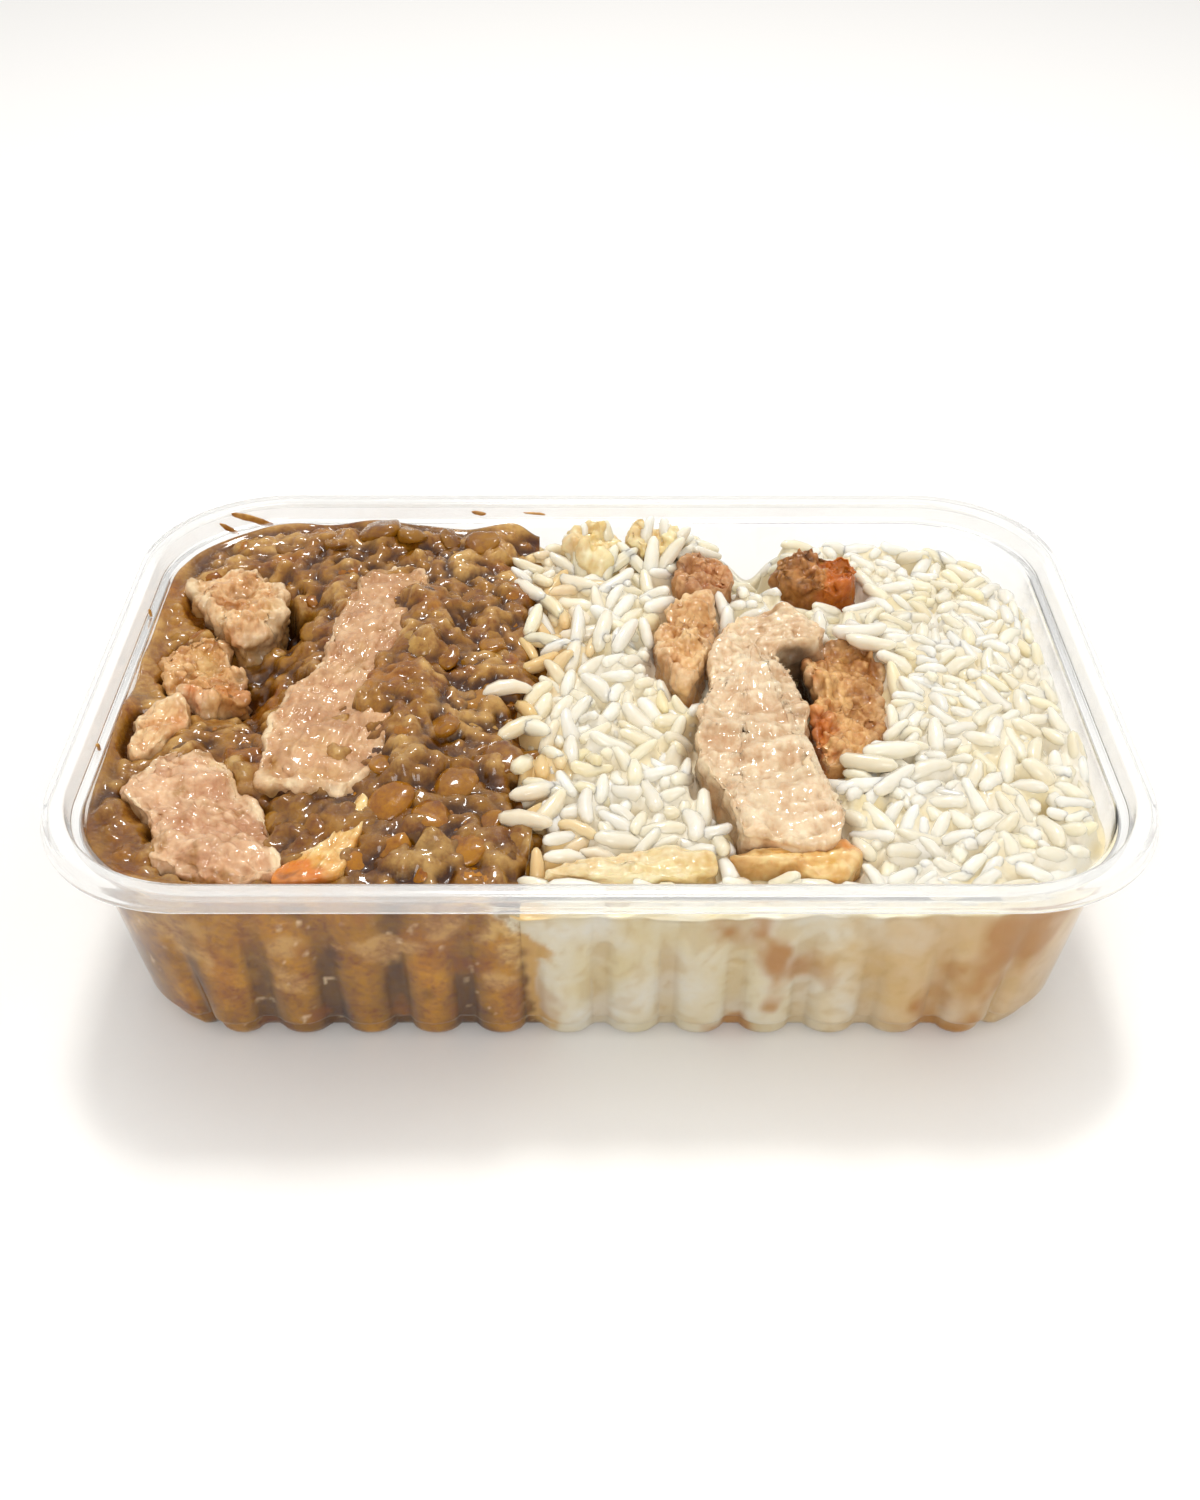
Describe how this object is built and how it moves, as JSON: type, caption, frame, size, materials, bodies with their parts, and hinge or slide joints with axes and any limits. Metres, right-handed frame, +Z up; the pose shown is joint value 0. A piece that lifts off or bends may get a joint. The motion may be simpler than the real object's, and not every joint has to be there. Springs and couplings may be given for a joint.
{
  "type": "bento box meal",
  "caption": "Open clear ribbed takeaway tub filled with brown lentil curry, roast pork pieces and white rice, standing on its flat base.",
  "frame": {"origin": "centre of the tub's footprint, on the surface that it stands on", "axes": "+X along the tub's length towards the plain rice, +Y away from the person eating, +Z up"},
  "size_m": [0.173, 0.119, 0.041],
  "materials": {
    "clear_plastic": "clear, glossy thermoformed plastic",
    "lentil_curry": "wet, glossy brown sauce with lentils",
    "white_rice": "moist, slightly translucent grains",
    "roast_pork": "moist, fibrous roast meat",
    "browned_pork": "browned roast meat with a dark crust",
    "pork_fat": "glossy browned fat",
    "pale_chunk": "wet, pale and slightly translucent"
  },
  "bodies": {
    "root": {"container": "clear_plastic", "curry": "lentil_curry", "rice": "white_rice", "pork_slab": "roast_pork", "pork_left_back": "roast_pork", "pork_left_middle": "roast_pork", "pork_left_sliver": "roast_pork", "pork_left_front": "roast_pork", "fat_strip_left": "pork_fat", "pork_slice_right": "roast_pork", "crust_strip_front": "pork_fat", "pale_strip_front": "pale_chunk", "pork_crusted_back": "browned_pork", "pork_crusted_right": "browned_pork", "pork_middle_front": "roast_pork", "pork_middle_back": "browned_pork", "pale_chunk_left": "pale_chunk", "pale_chunk_right": "pale_chunk"}
  },
  "joints": []
}
